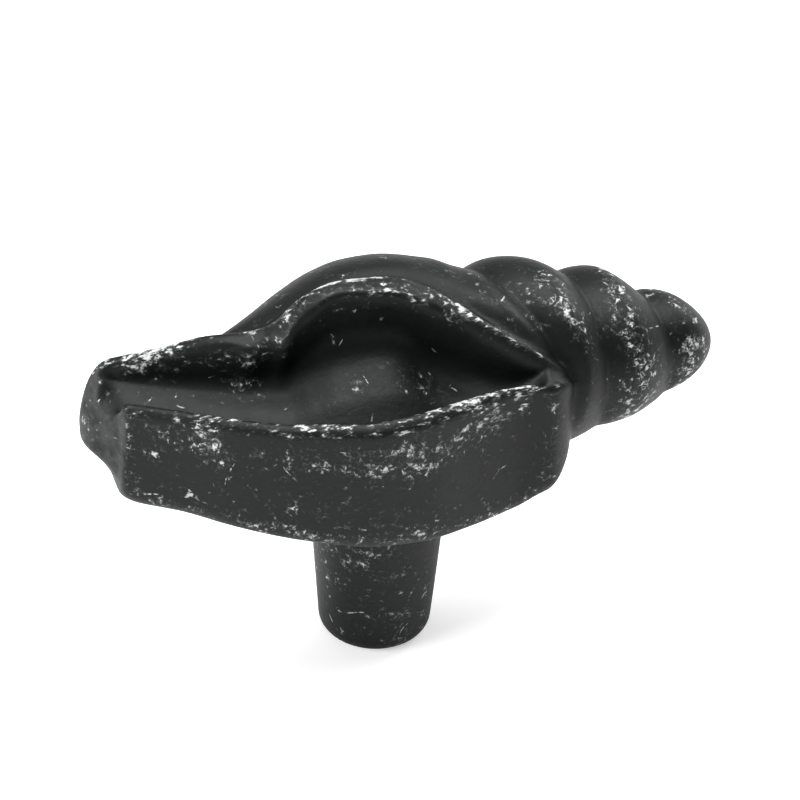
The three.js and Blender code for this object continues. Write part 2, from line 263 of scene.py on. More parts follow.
back_y = mouth_line([
    (-1, 0.42), (-0.75, 0.42), (-0.5, 0.44), (0, 0.5), (0.5, 0.3), (1, -0.3),
], BODY_RADIUS)
underside_y = mouth_line([
    (-1, 0.2), (-0.75, 0.27), (-0.5, 0.36), (0, 0.4), (0.5, 0.3), (1, -0.3),
], BODY_RADIUS)
print("outer lip over the stem, y:", round(float(outer_lip_y(0.0)), 2))

# %% [markdown]
# The left end is the shell's canal. It closes in a dome, full at the back and crisp at the
# lip, which leans outwards lower down and draws in again at its foot. The right end draws in
# over a quarter circle, and its wall slants back to let the spire come out from behind it.

# %% Body of the mouth
RIM_RISE = 0.5
RIM_ROUND = 0.4
LIP_ROUND = 0.7
WALL_EDGE_ROUND = 1.6
BACK_DROP = 1.0
BACK_ROUND = 3.8
END_ROUND = 1.9
END_CHAMFER = 2.2
END_CHAMFER_SLOPE = 0.35
END_WALL_INSET = 0.5
CANAL_END_LEAN = 0.55
CANAL_END_BULGE = 2.75
CANAL_END_DROP = 2.9
CANAL_END_FOOT = 3.4
CANAL_END_CRISP = 1.9
CANAL_END_FULL = 0.5
MOUTH_SECTIONS = 220
canal_lean = mouth_line([(-1, 1), (-0.8, 0)])
canal_foot = through([(0, 0.1), (1, 1)])


def canal_end(edge):
    """Rows from near a middle point out to the edge, whose share of the way is a sine. They
    bulge along -X by (1 - share squared) to a power, less near the foot."""
    x = -MOUTH_LEFT
    lip, back, rim = (float(line(x)) for line in (outer_lip_y, back_y, rim_y))
    middle = np.array([x, (lip + 2 * back) / 3, AXIS_HEIGHT - CANAL_END_DROP])
    share = np.sin(np.radians(np.linspace(3, 87, 16)))[:, None]
    power = np.interp(edge[:, 1], [lip, rim], [CANAL_END_CRISP, CANAL_END_FULL])
    dome = middle + (edge - middle) * share[..., None]
    above_foot = canal_foot((dome[..., 2] - edge[:, 2].min()) / CANAL_END_FOOT)
    dome[..., 0] -= CANAL_END_BULGE * above_foot * (1 - share ** 2) ** power
    return dome


def mouth_body():
    """Sections of six rounded corners from the canal's end to the right end, which a quarter
    circle draws in."""
    quarter = np.radians(np.linspace(0, 90, 12))
    x = np.concatenate([
        np.linspace(-MOUTH_LEFT, MOUTH_RIGHT - END_ROUND, MOUTH_SECTIONS)[:-1],
        MOUTH_RIGHT - END_ROUND * (1 - np.sin(quarter)),
    ])
    depth = END_ROUND - np.minimum(END_ROUND, MOUTH_RIGHT - x)
    inset = END_ROUND - np.sqrt(END_ROUND ** 2 - depth ** 2)
    chamfer = END_CHAMFER_SLOPE * np.maximum(0, x - MOUTH_RIGHT + END_CHAMFER)
    wall = outer_lip_y(x) + END_WALL_INSET * inset + chamfer
    bottom = AXIS_HEIGHT - underside_drop(x) + inset
    rim_top = AXIS_HEIGHT + rim_z(x) + RIM_RISE - inset
    corners = np.stack([
        np.stack([wall, LIP_HEIGHT - inset], axis=1),
        np.stack([rim_y(x) - rim_width(x), rim_top - rim_drop(x)], axis=1),
        np.stack([rim_y(x), rim_top], axis=1),
        np.stack([back_y(x), np.full_like(x, AXIS_HEIGHT - BACK_DROP)], axis=1),
        np.stack([underside_y(x), bottom], axis=1),
        np.stack([wall, bottom], axis=1),
    ], axis=1)
    radii = np.array([LIP_ROUND, RIM_ROUND, RIM_ROUND, BACK_ROUND, BACK_ROUND, WALL_EDGE_ROUND])
    body = along_x(x, rounded(corners, radii))
    body[..., 0] -= CANAL_END_LEAN * canal_lean(x)[:, None] * (LIP_HEIGHT - body[..., 2]) / WALL_HEIGHT
    return skin(np.concatenate([canal_end(body[0]), body]))


keep_skin("mouth", mouth_body())

# %% [markdown]
# The hollow between the lips is a body too, and is cut out of the casting. Its far wall drops
# from the rim and slants back under it. Its floor ramps up under the rim, swells in the
# middle and rolls down to its deepest behind the outer lip.

# %% Hollow between the lips
LIP_THICKNESS = 1.2
HOLLOW_DEPTH = 4.2
HOLLOW_END_COVER = 2.75
HOLLOW_TOP = LIP_HEIGHT + 2 * BODY_RADIUS
HOLLOW_LEAST_WIDTH = 0.3
FLOOR_LEAST_WIDTH = 0.4
UNDERCUT_DROP = 1.2
UNDERCUT_LEAST_HEIGHT = 0.2
SHARP = 0.01
UNDERCUT_ROUND = 1.0
FLOOR_BULGE = 0.7
FLOOR_ROUND = 4.0
FLOOR_CORNER_ROUND = 0.9
lip_thickness = mouth_line([(-1, 1), (0.15, 1), (0.5, 0.7), (0.82, 0.45)], LIP_THICKNESS)
floor_near = mouth_line([
    (-1.14, 0.1), (-1.07, 0.25), (-0.98, 0.38), (-0.79, 0.6), (-0.56, 0.82), (-0.35, 0.97),
    (-0.13, 1.1), (0.14, 1.07), (0.42, 0.94), (0.69, 0.6), (0.82, -0.2),
], HOLLOW_DEPTH)
floor_far = mouth_line([
    (-1.14, -0.6), (-1.07, -0.3), (-0.98, 0), (-0.79, 0.08), (-0.6, 0.1), (-0.42, 0.1),
    (-0.32, -0.15), (-0.22, -0.42), (-0.05, -0.55), (0.06, -0.38), (0.15, -0.1), (0.27, 0.18),
    (0.42, 0.35), (0.69, 0.2), (0.82, -0.2),
], HOLLOW_DEPTH)
far_wall_y = mouth_line([
    (-1.14, 1.6), (-1, 1.3), (-0.79, -0.1), (-0.6, -1.5), (-0.4, -2.1), (-0.2, -1.8), (0, -2.1),
    (0.26, -3.2), (0.4, -4.3), (0.53, -5.6), (0.85, -7.4),
])
floor_bulge = mouth_line([
    (-0.9, 0), (-0.5, 0.7), (-0.1, 1), (0.2, 1), (0.5, 0.5), (0.75, 0),
], FLOOR_BULGE)
floor_sweep = mouth_line([
    (-1, 1), (-0.6, 1.6), (-0.35, 4), (-0.1, 6), (0.15, 5), (0.45, 2), (0.7, 0.6),
])


def hollow():
    """Sections of six corners that open far above the shell. The floor's middle corner lies
    half-way across, above the mean of its two ends by the bulge."""
    x = np.linspace(-MOUTH_LEFT - 2 * CANAL_END_BULGE, MOUTH_RIGHT - HOLLOW_END_COVER, MOUTH_SECTIONS)
    sky = np.full_like(x, HOLLOW_TOP)
    near = outer_lip_y(x) + lip_thickness(x)
    far = np.maximum(rim_y(x) - rim_width(x), near + HOLLOW_LEAST_WIDTH)
    far_below = np.maximum(far_wall_y(x), near + FLOOR_LEAST_WIDTH)
    rim_edge = AXIS_HEIGHT + rim_z(x) + RIM_RISE - rim_drop(x)
    under_rim = np.maximum(rim_edge - UNDERCUT_DROP, LIP_HEIGHT - floor_far(x) + UNDERCUT_LEAST_HEIGHT)
    middle = (near + far_below) / 2
    middle_depth = (floor_near(x) + floor_far(x)) / 2 - floor_bulge(x)
    corners = np.stack([
        np.stack([near, sky], axis=1),
        np.stack([far, sky], axis=1),
        np.stack([far, under_rim], axis=1),
        np.stack([far_below, LIP_HEIGHT - floor_far(x)], axis=1),
        np.stack([middle, LIP_HEIGHT - middle_depth], axis=1),
        np.stack([near, LIP_HEIGHT - floor_near(x)], axis=1),
    ], axis=1)
    sharp = np.full_like(x, SHARP)
    radii = np.stack([
        sharp, sharp, sharp + UNDERCUT_ROUND, floor_sweep(x), sharp + FLOOR_ROUND,
        sharp + FLOOR_CORNER_ROUND,
    ], axis=1)
    return skin(along_x(x, rounded(corners, radii, steps=16)))


keep_skin("hollow", hollow())

# %% [markdown]
# The whorls are one tube that winds up a dipping axis. A suture is where a turn meets the
# one before it. It is a helix, so one function says where it lies after any number of turns,
# and a groove is cut beside it. Near the outer lip the shell pushes the first suture on
# towards the tip. Another groove sets the mouth's rim off from the body behind it.

# %% Lines of the whorls
AXIS_DIP = 5.3
BODY_LENGTH = 20.0
SPIRE_LENGTH = 29.9
APEX_ROUND = 4.6
SUTURES = [8.7, 16.8, 23.6]
SUTURE_DEPTH = 1.4
SUTURE_REACH = 4.0
SUTURE_SHARPNESS = 2.0
LIP_SWEEP = 3.2
LIP_SWEEP_ANGLE = 70.0
LIP_SWEEP_WIDTH = 55.0
RIM_GROOVE_DEPTH = 0.6
RIM_GROOVE_WIDTH = 1.3
FINE_WHORL_RADIUS = 4.0
START_TURN = -1.6
APEX_TURN = len(SUTURES) + 1
crown_share = through([
    (-1, 0.08), (-0.85, 0.22), (-0.71, 0.35), (-0.57, 0.52), (-0.43, 0.715), (-0.28, 0.885),
    (-0.14, 0.975), (0, 1), (0.15, 0.935), (0.21, 0.9), (0.29, 0.93), (0.4, 0.895), (0.5, 0.865),
    (0.62, 0.785), (0.72, 0.68), (0.8, 0.585), (0.88, 0.47), (1, 0.36),
])
suture_at = through(
    [(START_TURN, -BODY_LENGTH), (0, 0)]
    + [(turn + 1, along) for turn, along in enumerate(SUTURES)]
    + [(APEX_TURN, SPIRE_LENGTH)]
)
helix_share = through([
    (-180, -0.5), (-90, -0.25), (0, 0), (70, 0.194), (110, 0.235), (140, 0.25), (180, 0.5),
])
suture_fade = through([(0.45, 0), (0.85, 1), (APEX_TURN - 0.85, 1), (APEX_TURN - 0.3, 0)])
suture_share = through([(-180, 0.4), (-130, 0.4), (-95, 1), (100, 1), (138, 0.4), (180, 0.4)])
rim_groove_depth = mouth_line([(-0.8, 0), (-0.6, 1), (0.6, 1), (0.85, 0)], RIM_GROOVE_DEPTH)


def lip_sweep(angle):
    """How far the outer lip pushes the first suture on: a bell curve of the angle."""
    return LIP_SWEEP * np.exp(-(((angle - LIP_SWEEP_ANGLE) / LIP_SWEEP_WIDTH) ** 2))


def crown_radius(along):
    """The envelope of the whorls, closed over the apex by an ellipse."""
    share = crown_share(np.where(along < 0, along / BODY_LENGTH, along / SPIRE_LENGTH))
    on_apex = np.clip((along - SPIRE_LENGTH + APEX_ROUND) / APEX_ROUND, 0, 1)
    return BODY_RADIUS * share * np.sqrt(1 - on_apex ** 2)


# %% Whorls
WHORL_ROWS = 420
WHORL_SIDES = 360
APEX_ROWS = 60
APEX_LAST_ANGLE = 89.5
LEAST_CROWN = 0.1


def suture_groove(along, angle):
    """The deepest of the sutures' grooves, each falling off on both sides of its helix."""
    depth = np.zeros_like(along)
    for number in range(1, APEX_TURN):
        turn = number + helix_share(angle)
        sweep = lip_sweep(angle) if number == 1 else 0
        away = np.clip(1 - np.abs(along - suture_at(turn) - sweep) / SUTURE_REACH, 0, 1)
        depth = np.maximum(depth, suture_fade(turn) * away ** SUTURE_SHARPNESS)
    return SUTURE_DEPTH * suture_share(angle) * depth


def rim_groove(along, angle, crown):
    """A groove behind the rim's outer edge, so that the rim stands clear of the body: a bell
    curve of the distance round the body from the rim, at full depth in front of it."""
    rim_sine = -rim_y(along) / np.maximum(crown, LEAST_CROWN)
    rim_angle = np.degrees(np.arcsin(np.clip(rim_sine, -1, 1)))
    behind = np.maximum(rim_angle - angle, 0) * np.radians(crown)
    return rim_groove_depth(along) * np.exp(-((behind / RIM_GROOVE_WIDTH) ** 2))


def whorls():
    """Points at a place along the axis and an angle round it, 0 on top and 90 at the outer
    lip: the radius is the crown's less the grooves' depth, and the axis dips towards +X."""
    to_apex = np.radians(np.linspace(0, APEX_LAST_ANGLE, APEX_ROWS))
    on_axis = np.concatenate([
        np.linspace(-BODY_LENGTH, SPIRE_LENGTH - APEX_ROUND, WHORL_ROWS)[:-1],
        SPIRE_LENGTH - APEX_ROUND * (1 - np.sin(to_apex)),
    ])
    along, angle = np.meshgrid(on_axis, np.linspace(180, -180, WHORL_SIDES + 1)[1:], indexing="ij")
    crown = crown_radius(along)
    radius = crown - suture_groove(along, angle) * np.minimum(1, crown / FINE_WHORL_RADIUS)
    radius -= rim_groove(along, angle, crown)
    around, dip = np.radians(angle), np.radians(AXIS_DIP)
    y, z = -radius * np.sin(around), radius * np.cos(around)
    x_dipped = along * np.cos(dip) + z * np.sin(dip)
    z_dipped = z * np.cos(dip) - along * np.sin(dip) + AXIS_HEIGHT
    return skin(np.stack([x_dipped, y, z_dipped], axis=-1))


keep_skin("whorls", whorls())

# %% [markdown]
# The stem carries the shell on the drawer front, and a screw from behind holds it there.
# Both the stem and the screw's hole are turned forms: a profile of radius and height, and a
# full turn round Z.

# %% Stem and screw hole
FOOT_RADIUS = 5.0
FOOT_EDGE_RADIUS = 1.2
STEM_TAPER = 4.0
STEM_FLARE = 0.8
STEM_COVER = 6.2
STEM_TOP = AXIS_HEIGHT - BODY_RADIUS + STEM_COVER / 2
HOLE_RADIUS = 1.7
HOLE_DEPTH = 11.0
HOLE_CHAMFER = 0.4
HOLE_START = -1.0
DRILL_POINT_ANGLE = 118.0
NEAR_AXIS = 0.01


def revolved(profile, sides=160):
    """A profile of (radius, height) pairs turned round Z, closed by a fan at each end."""
    radius, height = np.array(profile, float).T
    angle = np.linspace(0, 2 * np.pi, sides, endpoint=False)
    rings = np.stack([
        radius[:, None] * np.cos(angle),
        radius[:, None] * np.sin(angle),
        np.broadcast_to(height[:, None], (len(height), sides)),
    ], axis=-1)
    return skin(rings)


def stem():
    """A tapered round bar with a rounded foot, which flares as it enters the shell."""
    quarter = np.radians(np.linspace(0, 90, 10))
    flat = FOOT_RADIUS - FOOT_EDGE_RADIUS
    foot_edge = np.stack([
        flat + FOOT_EDGE_RADIUS * np.sin(quarter),
        FOOT_EDGE_RADIUS * (1 - np.cos(quarter)),
    ], axis=1)
    t = np.linspace(0, 1, 24)
    flare_start = LIP_HEIGHT - WALL_HEIGHT
    z = flare_start + t * (STEM_TOP - flare_start)
    side = np.stack([FOOT_RADIUS + z * np.tan(np.radians(STEM_TAPER)) + STEM_FLARE * t ** 2, z], axis=1)
    return revolved(np.concatenate([[[NEAR_AXIS, 0]], foot_edge, side, [[NEAR_AXIS, STEM_TOP]]]))


def screw_hole():
    """A blind drilled hole with a chamfered mouth and a drill's pointed end."""
    point = HOLE_RADIUS / np.tan(np.radians(DRILL_POINT_ANGLE / 2))
    mouth = HOLE_RADIUS + HOLE_CHAMFER
    return revolved([
        (NEAR_AXIS, HOLE_START), (mouth, HOLE_START), (mouth, 0), (HOLE_RADIUS, HOLE_CHAMFER),
        (HOLE_RADIUS, HOLE_DEPTH), (NEAR_AXIS, HOLE_DEPTH + point),
    ])


keep_skin("stem", stem())
keep_skin("screw hole", screw_hole())

# %% [markdown]
# A casting has no knife-sharp creases: metal flows into a small fillet wherever two forms
# meet. Joining the skins face by face would leave such creases. So each skin becomes a
# field that holds, at every point of a fine grid, the distance to that skin, below 0
# inside. Two fields join by taking the smaller value, and a soft minimum leaves a fillet.
# One skin is then drawn where the joined field is 0.

# %% Distance fields
CELL = 0.23
REACH_CELLS = 9
MARGIN = 3.0
grid_low = np.floor(np.array(cad_low) / MM - MARGIN)
grid_cells = np.ceil((np.array(cad_high) / MM + MARGIN - grid_low) / CELL).astype(int) + 1


def grid_transform():
    """Cells of the grid to millimetres."""
    transform = openvdb.createLinearTransform(voxelSize=CELL)
    transform.postTranslate(tuple(grid_low))
    return transform


def field_of(shape):
    """Signed distance in mm to a closed skin, known within a few cells of it."""
    points, sides, fans = shape
    level_set = openvdb.FloatGrid.createLevelSetFromPolygons(
        np.ascontiguousarray(points, np.float32), triangles=np.ascontiguousarray(fans, np.uint32),
        quads=np.ascontiguousarray(sides, np.uint32), transform=grid_transform(), halfWidth=REACH_CELLS)
    field = np.empty(grid_cells, np.float32)
    level_set.copyToArray(field)
    return field


fields = {name: field_of(shape) for name, shape in skins.items()}
print("grid of", grid_cells, "cells for", list(fields))

# %% [markdown]
# A blend is how wide a fillet is. The hollow's edge is crisp along the lips and soft at the
# canal's end, where the floor rolls out over it.

# %% Join the forms
WHORL_BLEND = 0.35
HOLLOW_BLEND = 0.5
CANAL_END_BLEND = 2.2
STEM_BLEND = 0.9
HOLE_BLEND = 0.1
canal_end_along = through([(-24, 1), (-20.5, 0)])
canal_end_across = through([(-2.2, 0), (-1, 1), (0, 1), (1, 0)])


def soft_minimum(a, b, blend):
    """The smaller of two fields, lowered where they are nearly alike, over a width of blend."""
    share = np.clip(0.5 + 0.5 * (b - a) / blend, 0, 1)
    return b + (a - b) * share - blend * share * (1 - share)


def soft_cut(a, b, blend):
    """Field a with b cut out, the edge of the cut eased over a width of blend."""
    return -soft_minimum(-a, b, blend)


cell_x, cell_y = (grid_low[k] + CELL * np.arange(grid_cells[k]) for k in (0, 1))
at_canal_end = canal_end_along(cell_x)[:, None, None] * canal_end_across(cell_y)[:, None]
casting_field = soft_minimum(fields["mouth"], fields["whorls"], WHORL_BLEND)
casting_field = soft_cut(casting_field, fields["hollow"], HOLLOW_BLEND + CANAL_END_BLEND * at_canal_end)
casting_field = soft_minimum(casting_field, fields["stem"], STEM_BLEND)
casting_field = soft_cut(casting_field, fields["screw hole"], HOLE_BLEND)
print("share of the grid inside the casting:", round(float((casting_field < 0).mean()), 4))

# %% [markdown]
# Tumbling and hand rubbing soften a casting all over, which a blur of the field does: it
# rounds convex edges and fills concave ones by the same amount.

# %% Soften the casting
SOFTENING = 0.18
BELL_REACH = 2.5


def blurred(field, width):
    """The field smoothed along each axis in turn by a bell curve of that width in mm."""
    cells = int(np.ceil(BELL_REACH * width / CELL))
    offsets = np.arange(-cells, cells + 1)
    weights = np.exp(-0.5 * (offsets * CELL / width) ** 2)
    weights /= weights.sum()
    for axis in range(3):
        padding = [(cells, cells) if k == axis else (0, 0) for k in range(3)]
        padded = np.pad(field, padding, mode="edge")
        size = field.shape[axis]
        field = sum(w * np.take(padded, np.arange(i, i + size), axis=axis) for i, w in enumerate(weights))
    return field.astype(np.float32)


def skin_of(field):
    """The surface where a field is 0, as points in mm and four-sided faces."""
    grid = openvdb.FloatGrid(float(REACH_CELLS * CELL))
    grid.transform = grid_transform()
    grid.copyFromArray(np.ascontiguousarray(field, np.float32), tolerance=0.0)
    return grid.convertToQuads(isovalue=0.0)


softened = blurred(casting_field, SOFTENING)
points, quads = skin_of(softened)
print("points:", len(points), "quads:", len(quads))

# %% [markdown]
# The finish has to know where hands and cloth reach. A blurred field says so at each point
# of the skin: on a crest there is more air than metal nearby, so it's above 0, and in a
# groove it's below. A narrow blur finds edges and a wide one finds the whorls' crowns. A
# very wide one finds the places with metal on most sides, which rubbing seldom reaches. The
# hollow's own field tells which part of the skin it has carved.

# %% Measure crests and shelter
FINE_WIDTH = 0.5
BROAD_WIDTH = 1.6
SHELTER_WIDTH = 3.2
CARVED_WIDTH = 0.5


def sampled(field, points):
    """The field at each point, mixed linearly from the eight cells round it."""
    place = (points - grid_low) / CELL
    cell = np.floor(place).astype(int)
    part = place - cell
    total = np.zeros(len(points))
    for corner in np.ndindex(2, 2, 2):
        weight = np.prod(np.where(corner, part, 1 - part), axis=1)
        total += weight * field[tuple((cell + corner).T)]
    return total


measures = {
    "crest_fine": sampled(blurred(softened, FINE_WIDTH), points) / FINE_WIDTH,
    "crest_broad": sampled(blurred(softened, BROAD_WIDTH), points) / BROAD_WIDTH,
    "shelter": -sampled(blurred(np.clip(softened, -1, 1), SHELTER_WIDTH), points),
    "carved": np.exp(-((sampled(fields["hollow"], points) / CARVED_WIDTH) ** 2)),
}
for name, values in measures.items():
    print(name, np.percentile(values, [1, 10, 50, 90, 99]).round(3))

# %% [markdown]
# The skin goes into one mesh, because the knob is one casting. Its points keep what was
# measured as attributes, which the finish reads. It takes the place of the measured piece.

# %% Put the casting into a mesh
def mesh_object(name, points, faces):
    """A smooth piece at the origin, from points in mm and the faces between them."""
    mesh = bpy.data.meshes.new(name)
    mesh.from_pydata((points * MM).tolist(), [], faces.tolist())
    mesh.validate()
    mesh.shade_smooth()
    piece = bpy.data.objects.new(name, mesh)
    bpy.context.scene.collection.objects.link(piece)
    print(name, len(mesh.polygons), "faces")
    return piece


casting = mesh_object("casting", points, quads)
for name, values in measures.items():
    attribute = casting.data.attributes.new(name, "FLOAT", "POINT")
    attribute.data.foreach_set("value", values.astype(np.float32))
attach(casting, "root")
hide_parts("shell_knob")

# %% [markdown]
# The screw hole is tapped. Its thread is far finer than the field's cells, so it's a piece of
# its own: a sleeve in the wall of the hole, whose inner face is a helical ridge.

# %% Thread in the screw hole
THREAD_PITCH = 0.7
THREAD_RIDGE = 0.22
THREAD_SINK = 0.04
THREAD_ENDS = (0.6, 10.4)
SLEEVE_RADIUS = 1.85


def thread():
    """A ring of faces that winds up the ridge and comes back down inside the wall. The ridge
    is a triangle wave of the height in pitches less the share of a turn, and its valleys sink
    into the hole's wall."""
    height = np.linspace(*THREAD_ENDS, 170)
    angle = np.linspace(0, 2 * np.pi, 72, endpoint=False)
    turns = height[:, None] / THREAD_PITCH - angle / (2 * np.pi)
    ridge = 1 - 2 * np.abs(turns % 1 - 0.5)
    inner = HOLE_RADIUS + THREAD_SINK - THREAD_RIDGE * ridge
    radius = np.concatenate([inner, np.full((2, len(angle)), SLEEVE_RADIUS)])
    height = np.concatenate([height, height[[-1, 0]]])
    rings = np.stack([
        radius * np.cos(angle),
        radius * np.sin(angle),
        np.broadcast_to(height[:, None], radius.shape),
    ], axis=-1)
    index = np.arange(radius.size).reshape(radius.shape)
    above, beside = np.roll(index, -1, axis=0), np.roll(index, -1, axis=1)
    faces = np.stack([index, above, np.roll(above, -1, axis=1), beside], axis=-1)
    return rings.reshape(-1, 3), faces.reshape(-1, 4)


screw_thread = mesh_object("screw_thread", *thread())
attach(screw_thread, "root")

# %% [markdown]
# The finish has two layers: a satin black, and the bright cast metal under it. One sum says
# where the metal shows. It adds up noise at three scales, for patches, clusters and single
# specks, and then a little for each kind of place: more on crests, edges and crowns, less
# where a cloth can't reach. Where the sum passes a threshold, the black is gone. A finish is
# a tree of nodes, and a few helpers make each step of it one line.

# %% Shader helpers
def empty_tree(owner):
    """The node tree of a material or a world, cleared."""
    owner.use_nodes = True
    owner.node_tree.nodes.clear()
    return owner.node_tree


def node(tree, kind, inputs=None, **settings):
    """A new node: settings are its own choices, and inputs give its sockets a value or a link."""
    made = tree.nodes.new(kind)
    for name, value in settings.items():
        setattr(made, name, value)
    for socket, value in (inputs or {}).items():
        if isinstance(value, bpy.types.NodeSocket):
            tree.links.new(value, made.inputs[socket])
        else:
            made.inputs[socket].default_value = value
    return made


def calculate(tree, operation, *values, clamp=False):
    """One sum on numbers or sockets, held between 0 and 1 if clamp is set."""
    made = node(tree, "ShaderNodeMath", dict(enumerate(values)), operation=operation, use_clamp=clamp)
    return made.outputs[0]


def product(tree, first, *others):
    """All the values multiplied: of masks, where every one of them holds."""
    for other in others:
        first = calculate(tree, "MULTIPLY", first, other)
    return first


def weighted(tree, *pairs):
    """The sum of (value, weight) pairs."""
    total = 0.0
    for value, weight in pairs:
        total = calculate(tree, "MULTIPLY_ADD", value, weight, total)
    return total


def eased(tree, value, low, high, start=0.0, end=1.0):
    """Start below low and end above high, with a smooth change between them."""
    inputs = {"Value": value, "From Min": low, "From Max": high, "To Min": start, "To Max": end}
    return node(tree, "ShaderNodeMapRange", inputs, interpolation_type="SMOOTHSTEP").outputs["Result"]


def mixed(tree, share, first, second):
    """A colour between first and second."""
    made = node(tree, "ShaderNodeMix", {"Factor": share}, data_type="RGBA")
    for socket, value in (("A", first), ("B", second)):
        found = [s for s in made.inputs if s.name == socket and s.type == "RGBA"][0]
        if isinstance(value, bpy.types.NodeSocket):
            tree.links.new(value, found)
        else:
            found.default_value = (*value, 1.0)
    return [s for s in made.outputs if s.type == "RGBA"][0]


def measured(tree, name):
    """What was measured at the casting's points under that name."""
    return node(tree, "ShaderNodeAttribute", attribute_name=name).outputs["Fac"]


# %% [markdown]
# Wear is cloudy. Noise gives such a cloud at any size, stretched or not, and two calls with
# another shift give clouds that don't match. Spots are for what noise alone can't place.

# %% Noise and spots
SPOT_CORE = 0.3


def noise(tree, place, size, detail=2.0, roughness=0.55, distortion=0.0, stretch=(1, 1, 1),
          shift=(0, 0, 0)):
    """Cloudy noise about 0.5, whose features are about size mm across times the stretch."""
    scale = [1 / (size * MM * s) for s in stretch]
    moved = node(tree, "ShaderNodeMapping", {"Vector": place, "Scale": scale, "Location": shift})
    inputs = {
        "Vector": moved.outputs[0], "Scale": 1.0, "Detail": detail, "Roughness": roughness,
        "Distortion": distortion,
    }
    return node(tree, "ShaderNodeTexNoise", inputs).outputs["Fac"]


def near_spots(tree, place, spots):
    """1 in the core of each spot and 0 from its reach on. A spot is (centre, reach) in mm."""
    most = 0.0
    for centre, reach in spots:
        ends = {0: place, 1: [c * MM for c in centre]}
        away = node(tree, "ShaderNodeVectorMath", ends, operation="DISTANCE").outputs["Value"]
        most = calculate(tree, "MAXIMUM", most, eased(tree, away, reach * MM, SPOT_CORE * reach * MM))
    return most


# %% [markdown]
# On the real knob the rubbing isn't even. It brightens the lips' edges and the crowns of the
# whorls, and misses the wall under the rim. On the canal's end, the faces turned to the left
# get a lighter grey: painted light, standing in for the light that grazes that end from the
# left. A few spots and edges are rubbed more than their neighbours, and a few are left quiet.
# Each kind of place is a mask from 0 to 1, with its own share in the sum.

# %% Where the black is rubbed
RUBBED_SPOTS = [
    ((13.5, -4, 34), 5), ((19.5, -2, 32), 3), ((22, -5.5, 26.5), 5), ((26.5, -3.5, 26.5), 3.3),
    ((-1.5, -6.5, 26.8), 7),
]
RUBBED_EDGES = [((-0.5, -1.5, 37.5), 9), ((-20.5, 0.5, 32), 4)]
QUIET_SPOTS = [((12, -9, 30), 6.5), ((8.5, -3.5, 34), 3.2)]
RUBBING = {
    "crest": 0.11, "edge": 0.115, "crown": 0.12, "front": 0.03, "stem": 0.05, "canal end": -0.07,
    "under rim": -0.16, "sheltered": -0.02, "low crest": -0.10, "rubbed spot": 0.10,
    "quiet spot": -0.11, "rubbed edge": 0.15,
}
SCRATCH_WARP = 5 * MM
SCRATCH_CELL = 6 * MM


def kinds_of_place(tree, place):
    """A mask for each kind of place, from what was measured, where it lies and the way it faces.
    The two numbers of each step say where the mask begins and where it is full."""
    at = node(tree, "ShaderNodeSeparateXYZ", {0: place}).outputs
    normal = node(tree, "ShaderNodeNewGeometry").outputs["Normal"]
    facing = node(tree, "ShaderNodeSeparateXYZ", {0: normal}).outputs
    fine, broad = measured(tree, "crest_fine"), measured(tree, "crest_broad")
    crest = eased(tree, fine, 0.12, 0.34)
    on_shell = eased(tree, at["Z"], 14 * MM, 19 * MM)
    at_canal = eased(tree, at["X"], -20 * MM, -22 * MM)
    past_canal = eased(tree, at["X"], -13 * MM, -9 * MM)
    faces_left = eased(tree, facing["X"], -0.45, -0.75)
    faces_front = eased(tree, facing["Y"], -0.40, -0.75)
    return {
        "crest": crest,
        "edge": eased(tree, fine, 0.30, 0.50),
        "crown": product(tree, eased(tree, broad, 0.03, 0.22), eased(tree, broad, 0.48, 0.30), on_shell),
        "front": eased(tree, facing["Y"], -0.75, -0.95),
        "stem": eased(tree, at["Z"], 18 * MM, 16 * MM),
        # The canal's left-facing end: rubbed a little less, and given painted light in the finish.
        "canal end": product(tree, faces_left, at_canal),
        "under rim": product(tree, measured(tree, "carved"), faces_front, past_canal),
        "sheltered": eased(tree, measured(tree, "shelter"), 0.16, 0.40),
        "low crest": product(tree, crest, eased(tree, at["Z"], 24 * MM, 21 * MM)),
        "rubbed spot": near_spots(tree, place, RUBBED_SPOTS),
        "quiet spot": near_spots(tree, place, QUIET_SPOTS),
        "rubbed edge": product(tree, crest, near_spots(tree, place, RUBBED_EDGES)),
    }


def scratches(tree, place):
    """Hairlines: thin bands along the borders of large warped cells, most of them faded out."""
    warp = node(tree, "ShaderNodeTexNoise", {"Vector": place, "Scale": 1 / SCRATCH_WARP, "Detail": 1.0})
    pushed = node(tree, "ShaderNodeVectorMath", {0: warp.outputs["Color"], 1: (SCRATCH_WARP,) * 3},
                  operation="MULTIPLY")
    moved = node(tree, "ShaderNodeVectorMath", {0: place, 1: pushed.outputs[0]}, operation="ADD")
    cells = node(tree, "ShaderNodeTexVoronoi", {"Vector": moved.outputs[0], "Scale": 1 / SCRATCH_CELL},
                 feature="DISTANCE_TO_EDGE")
    thin = eased(tree, cells.outputs["Distance"], 0.013, 0.004)
    kept = eased(tree, noise(tree, place, size=1.8, shift=(2, 7, 4)), 0.60, 0.68, 0.0, 0.8)
    return product(tree, thin, kept)


# %% [markdown]
# Between the black and the bare metal lies a thin grey film, where the black is nearly worn
# through. The same grey, laid over the canal's left-facing end, is painted light. The specks
# are cloudy noise on the whorls and the walls, and short streaks along the crests. One fine
# bump makes the surface a casting's, and the bare metal lies a little lower in it, by the
# thickness of the black.

# %% Black rubbed through to metal
BLACK = (0.0036, 0.0044, 0.0043)
# The grey of black nearly worn through, also used as painted light on the canal's left-facing end.
WORN_AND_PAINTED_LIGHT_GREY = (0.058, 0.063, 0.062)
METAL = (0.64, 0.66, 0.66)
METAL_SHARE = 0.55
SPECULAR = 0.24
HAZE_FROM, HAZE_FULL = 1.12, 1.34
BARE_FROM, BARE_FULL = 1.25, 1.42
BUMP_HEIGHT = 0.04 * MM


